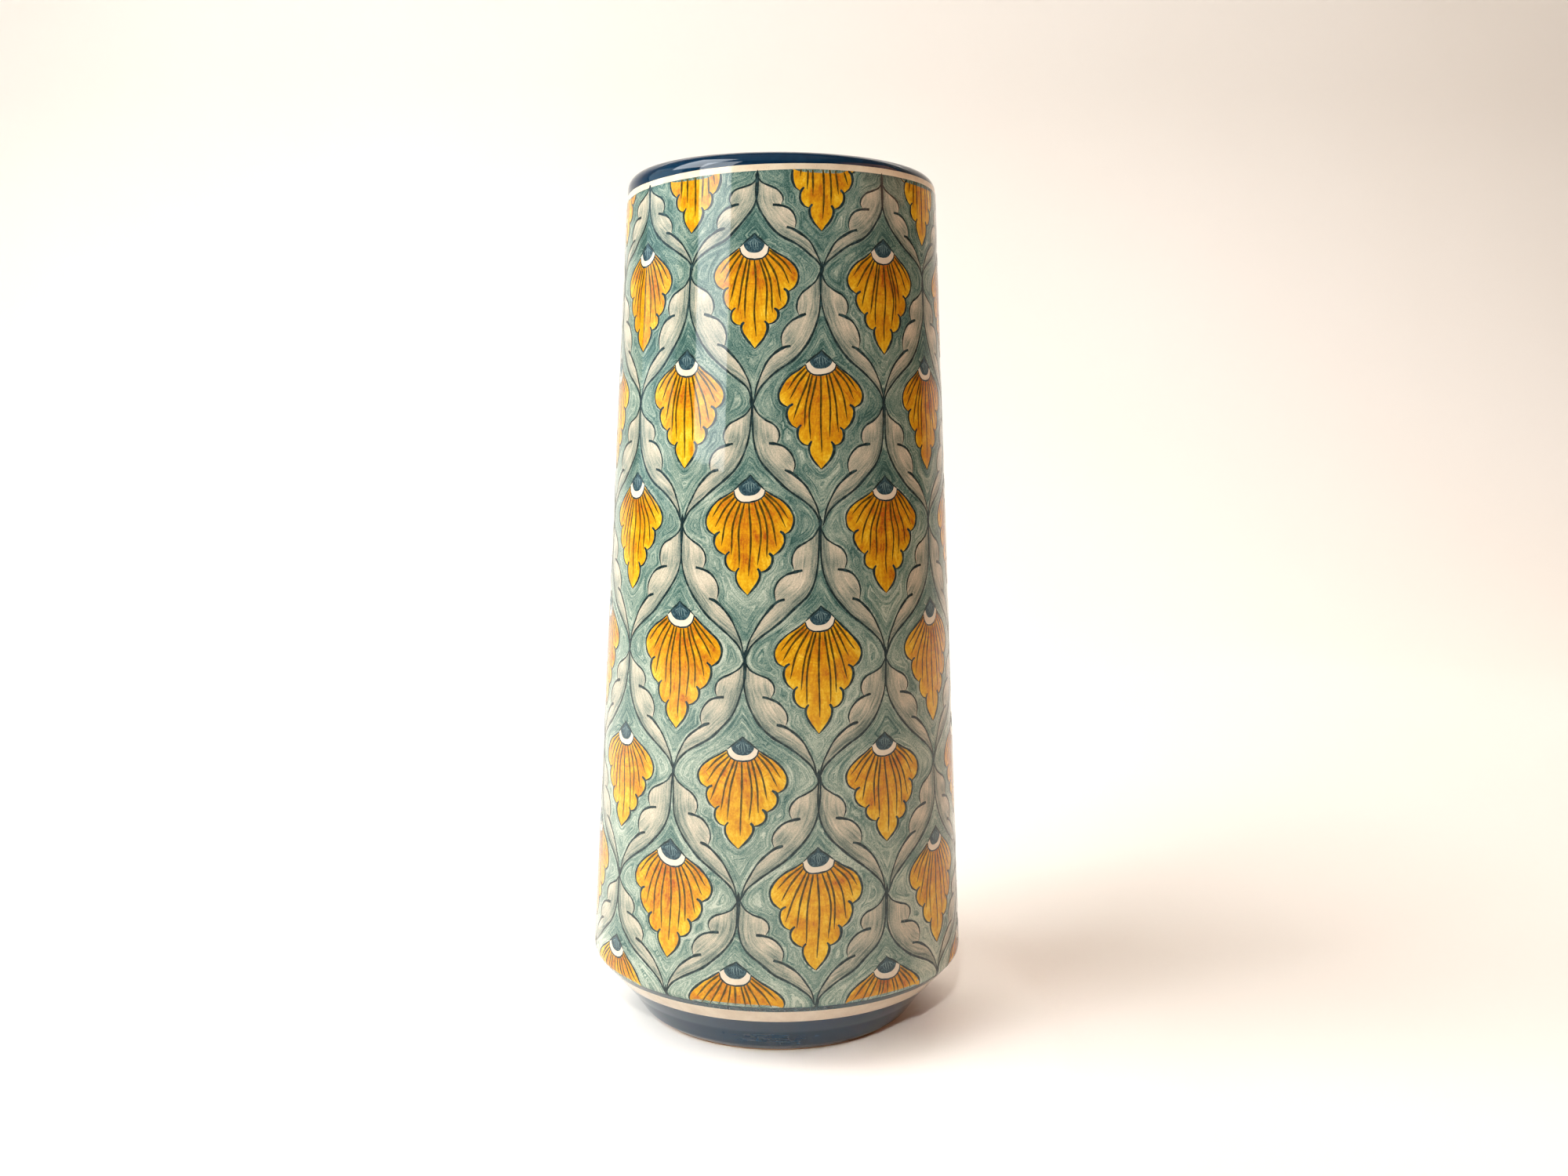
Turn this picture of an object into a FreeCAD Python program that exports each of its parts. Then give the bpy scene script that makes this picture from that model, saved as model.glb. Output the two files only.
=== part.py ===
"""A tall talavera vase: a fired clay body luted together from two pieces, and the glaze zones fused to it.

Frame: +Z up, origin at the centre of the foot on the surface that the vase stands on. Millimetres.

Every piece is turned about +Z: a body with one sketch of its section (radius along the sketch's X, height
along its Y) and one revolution. The outer surface is a chain of stretches: a bevelled heel, a foot wall, a
straight chamfer, a rounded belly, a slightly tapering wall and a rounded lip. The clay follows that chain one
glaze thickness further in, so that glaze and clay meet face to face.
"""

import FreeCAD, Part
import os
import Sketcher

DIMENSIONS = (
    # the outer surface, measured over the glaze
    ("overall_height", 300.0),
    ("belly_radius", 67.25),          # the widest place
    ("belly_height", 25.9),           # its height
    ("belly_round", 5.0),             # rounding of the belly's section
    ("taper", 2.78),                  # lean of the wall from the vertical, degrees
    ("chamfer", 48.5),                # slope of the chamfer from the horizontal, degrees
    ("foot_top_height", 9.8),         # where the foot wall meets the chamfer
    ("heel_radius", 50.0),            # where the bevelled heel meets the foot wall
    ("heel_height", 3.0),
    ("foot_radius", 46.0),            # outer edge of the ring that the vase stands on
    ("lip_round", 5.2),               # outside rounding of the lip
    # edges of the glaze zones
    ("bare_radius", 47.2),            # the bare clay ends and the foot glaze begins here, on the heel
    ("bare_height", 0.9),
    ("foot_glaze_top", 15.65),
    ("base_cream_top", 21.4),
    ("field_top", 292.8),
    ("rim_edge", 16.0),               # lower edge of the rim glaze, as an angle on the lip's rounding
    # the inside
    ("mouth_radius", 46.5),
    ("mouth_depth", 8.0),             # cylindrical stretch below the lip's inner rounding
    ("inner_base_radius", 59.4),      # foot of the inner wall
    ("inside_round", 25.0),           # rounding between the inner wall and the floor
    ("floor_height", 11.0),           # top of the glazed floor
    # the clay
    ("glaze", 0.6),                   # thickness of every glaze zone
    ("ring_inner_radius", 39.0),      # inner edge of the ring that the vase stands on
    ("recess_radius", 37.5),          # the shallow recess turned out of the underside
    ("recess_depth", 3.0),
)

document = FreeCAD.newDocument("talavera_vase")
sheet = document.addObject("Spreadsheet::Sheet", "dims")
for row, (alias, size) in enumerate(DIMENSIONS, start=1):
    sheet.set(f"A{row}", alias)
    sheet.set(f"B{row}", str(size))
    sheet.setAlias(f"B{row}", alias)
document.recompute()


# --- Points of the sections, as expressions of the sheet's cells ------------------------------------------
# An inset is a distance inwards, square to the surface.


def on_belly(angle, inset="0"):
    """The point of the belly's rounding at that angle above the horizontal."""
    return (
        f"dims.belly_radius - dims.belly_round + (dims.belly_round - {inset}) * cos({angle})",
        f"dims.belly_height + (dims.belly_round - {inset}) * sin({angle})",
    )


def on_chamfer(height, inset="0"):
    """The point of the chamfer at that height."""
    radius, top = on_belly(BELLY_START)
    run = f"({top} - {height}) / tan(dims.chamfer)"
    return (f"{radius} - {run} - {inset} / sin(dims.chamfer)", height)


def on_wall(height, inset="0"):
    """The point of the tapering wall at that height."""
    radius, bottom = on_belly("dims.taper")
    return (f"{radius} - ({height} - ({bottom})) * tan(dims.taper) - {inset} / cos(dims.taper)", height)


def on_lip(angle, inset="0"):
    """The point of the lip's outer rounding at that angle above the horizontal."""
    return (
        f"{LIP_RADIUS} + (dims.lip_round - {inset}) * cos({angle})",
        f"{LIP_HEIGHT} + (dims.lip_round - {inset}) * sin({angle})",
    )


def on_heel(inset="0"):
    return (f"dims.heel_radius - {inset}", "dims.heel_height")


def glaze_start(inset="0"):
    """Where the foot glaze begins on the heel."""
    return (f"dims.bare_radius - {inset}", "dims.bare_height")


def in_mouth(height, inset="0"):
    return (f"dims.mouth_radius + {inset}", height)


def inner_wall_foot(inset="0"):
    return (f"dims.inner_base_radius + {inset}", f"{INSIDE_START}")


def floor_edge(inset="0"):
    """Where the flat floor runs into its rounding."""
    return ("dims.inner_base_radius - dims.inside_round", f"dims.floor_height - {inset}")


BELLY_START = "(dims.chamfer - 90)"
FIELD_BOTTOM = f"({on_belly(BELLY_START)[1]})"
LIP_HEIGHT = "(dims.overall_height - dims.lip_round)"
LIP_START = f"({LIP_HEIGHT} + dims.lip_round * sin(dims.taper))"
LIP_RADIUS = f"({on_wall(LIP_START)[0]} - dims.lip_round * cos(dims.taper))"
LIP_TOP = "dims.overall_height"
INNER_ROUND = f"({LIP_RADIUS} - dims.mouth_radius)"
MOUTH_TOP = f"(dims.overall_height - {INNER_ROUND})"
MOUTH_BOTTOM = f"({MOUTH_TOP} - dims.mouth_depth)"
INSIDE_START = "(dims.floor_height + dims.inside_round)"
GLAZE = "dims.glaze"
CLAY_INSIDE_ROUND = "(dims.inside_round + dims.glaze)"

# The wall is luted to the bowl of the base where the inside starts to round towards the floor.
JOINT_INNER = inner_wall_foot(GLAZE)
JOINT_OUTER = on_wall(INSIDE_START, GLAZE)


# --- Turned bodies ----------------------------------------------------------------------------------------


def number(expression):
    """What an expression of the sheet's cells comes to, in millimetres."""
    result = sheet.evalExpression(expression)
    return float(getattr(result, "Value", result))


def arc(start, end, radius, centre_on_left):
    """The shorter arc of that radius from start to end."""
    chord = end - start
    left = FreeCAD.Vector(-chord.y, chord.x, 0).normalize()
    towards_centre = left if centre_on_left else -left
    rise = (radius**2 - chord.Length**2 / 4) ** 0.5
    middle = (start + end) * 0.5 - towards_centre * (radius - rise)
    return Part.Arc(start, middle, end)


def stretch(start, end, curve):
    """The edge of a section from start to end."""
    if curve is None:
        return Part.LineSegment(start, end)
    side, radius = curve
    return arc(start, end, number(radius), side == "left")


def turned(label, section):
    """A body turned about +Z from a closed section.

    section is a list of (corner, curve). The curve leads to the next corner: None is straight, and
    ("left", radius) or ("right", radius) is an arc with its centre on that side of the way along it.
    """
    body = document.addObject("PartDesign::Body", label)
    body.Label = label
    sketch = body.newObject("Sketcher::SketchObject", label + "_section")
    plane = [feature for feature in body.Origin.OriginFeatures if feature.Role == "XZ_Plane"][0]
    sketch.AttachmentSupport = [(plane, "")]
    sketch.MapMode = "FlatFace"
    corners = [FreeCAD.Vector(number(x), number(y), 0) for (x, y), _ in section]
    following = corners[1:] + corners[:1]
    for (_, curve), start, end in zip(section, corners, following):
        sketch.addGeometry(stretch(start, end, curve))

    # An arc always runs anticlockwise, so its first point may be the far end of its stretch.
    near_ends = []
    for index, corner in enumerate(corners):
        distances = [(sketch.getPoint(index, end) - corner).Length for end in (1, 2)]
        near_ends.append(1 if distances[0] < distances[1] else 2)

    for index, ((x, y), curve) in enumerate(section):
        after = (index + 1) % len(section)
        sketch.addConstraint(
            Sketcher.Constraint("Coincident", index, 3 - near_ends[index], after, near_ends[after])
        )
        for kind, axis, text, size in (
            ("DistanceX", -2, x, corners[index].x),
            ("DistanceY", -1, y, corners[index].y),
        ):
            if abs(size) < 1e-6:
                sketch.addConstraint(Sketcher.Constraint("PointOnObject", index, near_ends[index], axis))
                continue
            place = sketch.addConstraint(
                Sketcher.Constraint(kind, -1, 1, index, near_ends[index], size)
            )
            sketch.setExpression(f"Constraints[{place}]", text)
        if curve is not None:
            place = sketch.addConstraint(Sketcher.Constraint("Radius", index, number(curve[1])))
            sketch.setExpression(f"Constraints[{place}]", curve[1])

    turn = body.newObject("PartDesign::Revolution", label + "_turned")
    turn.Profile = sketch
    turn.ReferenceAxis = (sketch, ["V_Axis"])
    turn.Angle = 360.0
    body.Tip = turn
    return body


# --- The clay ---------------------------------------------------------------------------------------------

clay_base = turned("clay_base", [
    (("0", "dims.recess_depth"), None),
    (("dims.recess_radius", "dims.recess_depth"), None),
    (("dims.ring_inner_radius", "0"), None),
    (("dims.foot_radius", "0"), None),
    (glaze_start(), None),
    (glaze_start(GLAZE), None),
    (on_heel(GLAZE), None),
    (on_chamfer("dims.foot_top_height", GLAZE), None),
    (on_belly(BELLY_START, GLAZE), ("left", "dims.belly_round - dims.glaze")),
    (on_belly("dims.taper", GLAZE), None),
    (JOINT_OUTER, None),
    (JOINT_INNER, ("right", CLAY_INSIDE_ROUND)),
    (floor_edge(GLAZE), None),
    (("0", "dims.floor_height - dims.glaze"), None),
])

clay_wall = turned("clay_wall", [
    (JOINT_INNER, None),
    (JOINT_OUTER, None),
    (on_lip("dims.taper", GLAZE), ("left", "dims.lip_round - dims.glaze")),
    ((LIP_RADIUS, f"{LIP_TOP} - dims.glaze"), ("left", f"{INNER_ROUND} - dims.glaze")),
    (in_mouth(MOUTH_TOP, GLAZE), None),
    (in_mouth(MOUTH_BOTTOM, GLAZE), None),
])

# --- The glaze zones, from the foot up and then inside ----------------------------------------------------

foot_glaze = turned("foot_glaze", [
    (glaze_start(), None),
    (on_heel(), None),
    (on_chamfer("dims.foot_top_height"), None),
    (on_chamfer("dims.foot_glaze_top"), None),
    (on_chamfer("dims.foot_glaze_top", GLAZE), None),
    (on_chamfer("dims.foot_top_height", GLAZE), None),
    (on_heel(GLAZE), None),
    (glaze_start(GLAZE), None),
])

base_cream = turned("base_cream", [
    (on_chamfer("dims.foot_glaze_top"), None),
    (on_chamfer("dims.base_cream_top"), None),
    (on_chamfer("dims.base_cream_top", GLAZE), None),
    (on_chamfer("dims.foot_glaze_top", GLAZE), None),
])

base_line = turned("base_line", [
    (on_chamfer("dims.base_cream_top"), None),
    (on_chamfer(FIELD_BOTTOM), None),
    (on_chamfer(FIELD_BOTTOM, GLAZE), None),
    (on_chamfer("dims.base_cream_top", GLAZE), None),
])

painted_field = turned("painted_field", [
    (on_chamfer(FIELD_BOTTOM), ("left", "dims.belly_round")),
    (on_belly("dims.taper"), None),
    (on_wall("dims.field_top"), None),
    (on_wall("dims.field_top", GLAZE), None),
    (on_belly("dims.taper", GLAZE), ("right", "dims.belly_round - dims.glaze")),
    (on_belly(BELLY_START, GLAZE), None),
    (on_chamfer(FIELD_BOTTOM, GLAZE), None),
])

rim_cream = turned("rim_cream", [
    (on_wall("dims.field_top"), None),
    (on_lip("dims.taper"), ("left", "dims.lip_round")),
    (on_lip("dims.rim_edge"), None),
    (on_lip("dims.rim_edge", GLAZE), ("right", "dims.lip_round - dims.glaze")),
    (on_lip("dims.taper", GLAZE), None),
    (on_wall("dims.field_top", GLAZE), None),
])

rim_glaze = turned("rim_glaze", [
    (on_lip("dims.rim_edge"), ("left", "dims.lip_round")),
    ((LIP_RADIUS, LIP_TOP), ("left", INNER_ROUND)),
    (in_mouth(MOUTH_TOP), None),
    (in_mouth(MOUTH_TOP, GLAZE), ("right", f"{INNER_ROUND} - dims.glaze")),
    ((LIP_RADIUS, f"{LIP_TOP} - dims.glaze"), ("right", "dims.lip_round - dims.glaze")),
    (on_lip("dims.rim_edge", GLAZE), None),
])

inside_glaze = turned("inside_glaze", [
    (("0", "dims.floor_height - dims.glaze"), None),
    (floor_edge(GLAZE), ("left", CLAY_INSIDE_ROUND)),
    (inner_wall_foot(GLAZE), None),
    (in_mouth(MOUTH_BOTTOM, GLAZE), None),
    (in_mouth(MOUTH_TOP, GLAZE), None),
    (in_mouth(MOUTH_TOP), None),
    (in_mouth(MOUTH_BOTTOM), None),
    (inner_wall_foot(), ("right", "dims.inside_round")),
    (floor_edge(), None),
    (("0", "dims.floor_height"), None),
])

PIECES = (
    clay_base,
    clay_wall,
    foot_glaze,
    base_cream,
    base_line,
    painted_field,
    rim_cream,
    rim_glaze,
    inside_glaze,
)

document.recompute()
for item in document.Objects:
    if "Invalid" in item.State or "Error" in item.State:
        raise RuntimeError(f"{item.Label} did not build: {item.State}")

os.makedirs("parts", exist_ok=True)
for piece in PIECES:
    if piece.Shape.isNull() or not piece.Shape.isValid() or len(piece.Shape.Solids) != 1:
        raise RuntimeError(f"{piece.Label} is not one valid solid")
    piece.Shape.exportStep(f"parts/{piece.Label}.step")
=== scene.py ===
"""The talavera vase's looks: glaze zones, hand-painted ornament, materials, floor, lights and camera.

Sizes are in millimetres until they reach Blender, which gets metres. The painting is laid out on the unrolled
outside of the vase: across is the angle about +Z, as an arc on the cylinder of radius UNROLL, and up is the
way along the turned outline, which on the wall is nearly the height. Column angles count from the -Y side,
positive towards +X. Each painted motif is drawn once about its own axis, x outwards and y downwards, and is
then stretched, shaken a little and wrapped onto the glaze.
"""

import math
from collections import defaultdict

import bpy
import numpy as np
from mathutils import Matrix, Vector, geometry, kdtree


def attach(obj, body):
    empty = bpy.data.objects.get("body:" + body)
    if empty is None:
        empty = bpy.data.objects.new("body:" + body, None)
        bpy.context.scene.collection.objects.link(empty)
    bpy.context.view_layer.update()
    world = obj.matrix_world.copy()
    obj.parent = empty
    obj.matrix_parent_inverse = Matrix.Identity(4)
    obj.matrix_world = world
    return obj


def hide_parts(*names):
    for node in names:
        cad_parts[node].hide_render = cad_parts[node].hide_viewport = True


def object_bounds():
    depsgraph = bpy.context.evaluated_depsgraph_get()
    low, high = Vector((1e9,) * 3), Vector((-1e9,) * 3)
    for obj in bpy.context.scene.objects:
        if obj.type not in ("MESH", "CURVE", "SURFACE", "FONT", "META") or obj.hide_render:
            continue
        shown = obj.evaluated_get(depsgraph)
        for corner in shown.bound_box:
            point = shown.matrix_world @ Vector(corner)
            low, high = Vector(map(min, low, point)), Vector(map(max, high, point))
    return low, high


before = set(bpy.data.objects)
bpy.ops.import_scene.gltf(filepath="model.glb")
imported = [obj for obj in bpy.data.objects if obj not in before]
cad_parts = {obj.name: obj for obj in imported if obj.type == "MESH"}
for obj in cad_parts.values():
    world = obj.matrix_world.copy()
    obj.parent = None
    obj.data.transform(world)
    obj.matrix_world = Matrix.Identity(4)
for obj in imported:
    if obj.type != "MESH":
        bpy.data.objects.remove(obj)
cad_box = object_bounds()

MM = 0.001
FIELD_NODE = "painted_field"

# The turned outline, as on the CAD model.
HEIGHT = cad_box[1].z / MM
BELLY_RADIUS = 67.25
BELLY_HEIGHT = 25.9
BELLY_ROUND = 5.0
TAPER = math.radians(2.78)
CHAMFER = math.radians(48.5)
LIP_ROUND = 5.2                 # outside rounding of the lip
MOUTH_ROUND = 2.47              # inside rounding of the lip
MOUTH_RADIUS = 46.5
MOUTH_BOTTOM = 289.5            # where the mouth begins to widen into the inner wall
THROAT_ROUND = 40.0
INSIDE_FOOT = (59.4, 36.0)
INSIDE_ROUND = 24.99            # a trace under the wall's 25 mm, so that no stretch has zero length
FLOOR_HEIGHT = 11.0
GLAZE_START = (47.2, 0.9)
HEEL = (50.0, 3.0)
HEEL_ROUND = 4.0
FOOT_TOP = (54.7, 9.8)
FOOT_ROUND = 12.0
SKIN = 0.5                      # thickness of the glaze skins

# The lattice of the painting.
UNROLL = 59.2
COLUMNS = 8
FULL_TURN = 2 * math.pi * UNROLL
PITCH = FULL_TURN / COLUMNS
QUARTERS = 4                    # the large painted layers are split into this many pieces
GROUND_TIERS = 4                # tiles of the ground in each column
GROUND_MESH = (38, 54, 10)      # cells across and up a tile, and rows of points on its hidden side
FIELD_SPAN = (22.3, 293.0)
# Angles of one column of each kind at the top and at the bottom of the field, in degrees.
COLUMN_ANGLES = {"a": (-8.0, -11.5), "b": (14.0, 11.6)}
# Kind of column, height of the eye's apex and length of the palmette below it, from the top row down.
PALMETTE_ROWS = (
    ("b", 311.5, 38.2), ("a", 273.2, 36.2), ("b", 236.0, 38.0), ("a", 196.5, 39.0),
    ("b", 154.6, 41.5), ("a", 111.8, 36.6), ("b", 75.5, 40.0), ("a", 37.2, 38.0),
)
# Kind of column and height of the places where the ogees meet and a pair of leaves starts.
JUNCTIONS = (
    ("a", 292.8), ("b", 263.2), ("a", 220.9), ("b", 182.0), ("a", 138.7),
    ("b", 100.0), ("a", 59.5), ("b", 25.0), ("a", -15.0),
)
LEAF_REACH = (25.4, 39.5)       # from a leaf's start to its tip, across and down
PALMETTE_LENGTH = 38.4

# Heights over the true surface.
FILL_LIFT = 0.03
RAY_LIFT = 0.08
DETAIL_LIFT = 0.05
EYE_LIFT = 0.06
FINE_LIFT = 0.11                # crescent lines, shoulders and hatching, which lie on the details
INK_LIFT = 0.11
KNOT_LIFT = 0.13
EDGE_SINK = 0.02                # how far the edge of a painted patch is let into the glaze

# First seeds of the hand's unevenness, and how strong it is.
PALMETTE_SEED = 1000
LEAF_SEED = 3000
KNOT_SEED = 5000
HAND_SHAKE = 0.22
HAND_LEAN = 0.008


# --- The turned outline ------------------------------------


def fillet(before, corner, after, radius):
    """Points and outward normals along the rounding of a corner."""
    arriving = (corner - before) / np.linalg.norm(corner - before)
    leaving = (after - corner) / np.linalg.norm(after - corner)
    turn = math.atan2(arriving[0] * leaving[1] - arriving[1] * leaving[0], arriving @ leaving)
    first = np.array([arriving[1], -arriving[0]])
    if radius == 0:
        last = np.array([leaving[1], -leaving[0]])
        middle = first + last
        return [corner], [middle / np.linalg.norm(middle)]
    start = corner - arriving * radius * math.tan(abs(turn) / 2)
    side = 1.0 if turn > 0 else -1.0
    centre = start - side * radius * first
    count = max(2, int(abs(turn) / math.radians(2)))
    points, normals = [], []
    for angle in np.linspace(0, turn, count + 1):
        c, s = math.cos(angle), math.sin(angle)
        normal = np.array([c * first[0] - s * first[1], s * first[0] + c * first[1]])
        points.append(centre + side * radius * normal)
        normals.append(normal)
    return points, normals


def turned_outline():
    """The way along the outline, its points (radius, height) and its outward normals."""
    belly_centre = np.array([BELLY_RADIUS - BELLY_ROUND, BELLY_HEIGHT])
    half_turn = (math.pi / 2 - CHAMFER + TAPER) / 2
    middle = TAPER - half_turn
    belly = belly_centre + BELLY_ROUND / math.cos(half_turn) * np.array([math.cos(middle), math.sin(middle)])
    lip_radius = belly[0] - (HEIGHT - belly[1]) * math.tan(TAPER)
    corners = [
        (GLAZE_START, 0),
        (HEEL, HEEL_ROUND),
        (FOOT_TOP, FOOT_ROUND),
        (tuple(belly), BELLY_ROUND),
        ((lip_radius, HEIGHT), LIP_ROUND),
        ((MOUTH_RADIUS, HEIGHT), MOUTH_ROUND),
        ((MOUTH_RADIUS, MOUTH_BOTTOM), THROAT_ROUND),
        (INSIDE_FOOT, 0),
        ((INSIDE_FOOT[0], FLOOR_HEIGHT), INSIDE_ROUND),
        ((0.0, FLOOR_HEIGHT), 0),
    ]
    places = [np.array(place, float) for place, _ in corners]
    points = [places[0]]
    normals = []
    run = places[1] - places[0]
    normals.append(np.array([run[1], -run[0]]) / np.linalg.norm(run))
    for index in range(1, len(corners) - 1):
        more, facing = fillet(places[index - 1], places[index], places[index + 1], corners[index][1])
        points += more
        normals += facing
    points.append(places[-1])
    normals.append(np.array([0.0, 1.0]))
    points, normals = np.array(points), np.array(normals)
    steps = np.linalg.norm(np.diff(points, axis=0), axis=1)
    return np.concatenate([[0], np.cumsum(steps)]), points, normals


WAY, OUTLINE, FACING = turned_outline()
TOP_INDEX = int(np.argmax(OUTLINE[:, 1]))


def way_at(height):
    """The way along the outline at which the outside has that height."""
    return float(np.interp(height, OUTLINE[: TOP_INDEX + 1, 1], WAY[: TOP_INDEX + 1]))


WALL_START = way_at(BELLY_HEIGHT + BELLY_ROUND * math.sin(TAPER))
MOUTH_TOP_WAY = float(WAY[TOP_INDEX]) + MOUTH_ROUND * math.pi / 2
END_WAY = float(WAY[-1])


def painted_way(height):
    """The way at a height of the painting: true on the wall, and carried on as a length round the belly."""
    return WALL_START + (height - BELLY_HEIGHT) / math.cos(TAPER)


def wrap(angle, way, lift):
    """Points on the vase in metres, and their normals."""
    angle, way, lift = np.broadcast_arrays(angle, way, lift)
    radius = np.interp(way, WAY, OUTLINE[:, 0])
    height = np.interp(way, WAY, OUTLINE[:, 1])
    out = np.interp(way, WAY, FACING[:, 0])
    up = np.interp(way, WAY, FACING[:, 1])
    size = np.hypot(out, up)
    out, up = out / size, up / size
    radius = radius + out * lift
    height = height + up * lift
    around = np.stack([np.sin(angle), -np.cos(angle)], axis=-1)
    points = np.concatenate([around * radius[..., None], height[..., None]], axis=-1) * MM
    normals = np.concatenate([around * out[..., None], up[..., None]], axis=-1)
    return points, normals


def radius_at(way):
    return np.interp(way, WAY, OUTLINE[:, 0])


# --- The brushed edges of the glaze zones ------------------


def wander(seed, size, waves=(2, 3, 5, 8, 13, 21, 34)):
    """A small periodic wandering, in mm, as a function of the angle."""
    source = np.random.default_rng(seed)
    parts = [(n, source.uniform(0.4, 1.0) / n**0.5, source.uniform(0, 2 * math.pi)) for n in waves]
    return lambda angle: size * sum(a * np.sin(n * angle + phase) for n, a, phase in parts)


def tilted(way, tilt, towards, seed, size):
    """The edge of a zone: a circle that rises towards one side, brushed by hand."""
    shaken = wander(seed, size)
    direction = math.radians(towards)

    def edge(angle):
        return way + tilt * np.cos(angle - direction) + shaken(angle)

    return edge


RIM_CREAM_WIDTH = 1.95
FOOT_EDGE = tilted(way_at(15.65), 0.15, 70, 11, 0.10)
CREAM_EDGE = tilted(way_at(20.9), 0.2, 70, 12, 0.10)
FIELD_FOOT = tilted(painted_way(22.7), 0.2, 70, 16, 0.08)
FIELD_TOP = tilted(painted_way(291.8), 2.3, 49, 13, 0.09)
RIM_EDGE = tilted(painted_way(291.8) + RIM_CREAM_WIDTH, 2.3, 49, 14, 0.09)
MOUTH_EDGE = tilted(MOUTH_TOP_WAY + 1.5, 0.8, -60, 15, 0.3)


def level(way):
    return lambda angle: np.full_like(angle, way)


# --- Meshes ------------------------------------------------


def mesh_object(name, points, faces, normals, marks, material):
    """An object with smooth shading by the given normals, and its marks as point attributes."""
    mesh = bpy.data.meshes.new(name)
    mesh.from_pydata(points.tolist(), [], faces)
    mesh.validate()
    for mark, values in marks.items():
        kind = "FLOAT_VECTOR" if values.ndim == 2 else "FLOAT"
        slot = mesh.attributes.new(mark, kind, "POINT")
        member = "vector" if values.ndim == 2 else "value"
        slot.data.foreach_set(member, values.astype(np.float32).ravel())
    mesh.polygons.foreach_set("use_smooth", [True] * len(mesh.polygons))
    mesh.normals_split_custom_set_from_vertices(normals.tolist())
    mesh.materials.append(material)
    piece = bpy.data.objects.new(name, mesh)
    bpy.context.scene.collection.objects.link(piece)
    return piece


def finish_piece(piece, *nodes):
    """Hangs a piece on the root and hides the nodes whose place it takes."""
    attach(piece, "root")
    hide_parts(*nodes)
    nodes[0]
    return piece


def ring(name, node, low, high, material, columns=360, step=1.0):
    """A closed band of glaze right round the vase, between two edges."""
    angle = np.linspace(-math.pi, math.pi, columns, endpoint=False)
    bottom, top = low(angle), high(angle)
    rows = max(4, int(round(float(np.max(top - bottom)) / step)) + 1)
    share = np.linspace(0, 1, rows)[:, None]
    outer = bottom + (top - bottom) * share
    ways = np.concatenate([outer, outer[::-1]])
    lifts = np.concatenate([np.zeros((rows, 1)), np.full((rows, 1), -SKIN)])
    points, normals = wrap(angle[None, :], ways, lifts)
    normals[rows:] *= -1
    count = len(ways)
    faces = []
    for row in range(count):
        above = (row + 1) % count
        for column in range(columns):
            beside = (column + 1) % columns
            faces.append((row * columns + column, row * columns + beside,
                          above * columns + beside, above * columns + column))
    marks = {"way": np.broadcast_to(ways, (count, columns)).ravel()}
    piece = mesh_object(name, points.reshape(-1, 3), faces, normals.reshape(-1, 3), marks, material)
    return finish_piece(piece, node)


# --- Curves drawn by hand ----------------------------------


def smooth(points, step=0.5):
    """A rounded curve through the points, sampled every step."""
    points = np.array(points, float)
    padded = np.vstack([2 * points[0] - points[1], points, 2 * points[-1] - points[-2]])
    pieces = []
    for a, b, c, d in zip(padded, padded[1:], padded[2:], padded[3:]):
        count = max(2, int(np.linalg.norm(c - b) / step) + 1)
        t = np.linspace(0, 1, count, endpoint=False)[:, None]
        knots = [np.linalg.norm(q - p) ** 0.5 + 1e-6 for p, q in ((a, b), (b, c), (c, d))]
        leave = (b - a) / knots[0] - (c - a) / (knots[0] + knots[1]) + (c - b) / knots[1]
        arrive = (c - b) / knots[1] - (d - b) / (knots[1] + knots[2]) + (d - c) / knots[2]
        leave, arrive = leave * knots[1], arrive * knots[1]
        pieces.append(
            (2 * t**3 - 3 * t**2 + 1) * b + (t**3 - 2 * t**2 + t) * leave
            + (3 * t**2 - 2 * t**3) * c + (t**3 - t**2) * arrive
        )
    return np.vstack(pieces + [points[-1:]])


def mirrored(points):
    return np.array(points, float) * (-1, 1)


def thinned(points, gap):
    """The points, with those nearer than gap to the one before left out."""
    kept = [points[0]]
    for point in points[1:]:
        if np.linalg.norm(point - kept[-1]) >= gap:
            kept.append(point)
    if np.linalg.norm(kept[0] - kept[-1]) < gap:
        kept.pop()
    return np.array(kept)


# The palmette, right half, measured from the eye's apex: its strokes from the crescent down to the tip.
PALMETTE_STROKES = (
    ((4.9, 4.4), (7.4, 6.2), (10.3, 8.1), (13.2, 11.0), (14.3, 13.9), (13.4, 16.9), (11.0, 18.6)),
    ((9.5, 17.6), (10.8, 18.5), (11.3, 21.0), (10.1, 23.9), (8.0, 25.5)),
    ((6.6, 24.5), (7.7, 25.7), (7.7, 28.2), (6.2, 30.1), (4.1, 30.8)),
    ((3.3, 29.5), (4.1, 30.7), (4.1, 32.7), (2.9, 35.2), (1.1, 37.3), (0.0, 38.4)),
)
HOOKS = (0, 1, 1, 1)            # how many first points of each stroke reach inside the outline
RAYS = (                        # angle at the crescent in degrees, and where the ray ends
    (0, (0.1, 35.0)),
    (15, (3.4, 29.4)),
    (28, (6.1, 26.4)),
    (41, (9.2, 22.8)),
    (53, (11.4, 16.4)),
    (64, (12.6, 13.3)),
)
UNDER_CRESCENT = ((0.0, 7.2), (3.2, 6.2), (4.4, 4.4))
CRESCENT_CENTRE = (0.0, 3.0)
RAY_START = 5.5                 # how far from that centre the rays begin
EYE = ((0.0, -0.2), (0.9, 0.8), (2.2, 1.8), (3.5, 2.9), (3.1, 4.5), (1.7, 5.8), (0.0, 6.1))
CRESCENT_OUTER = ((4.9, 4.1), (4.4, 6.1), (2.6, 7.7), (0.0, 8.2))
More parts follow.
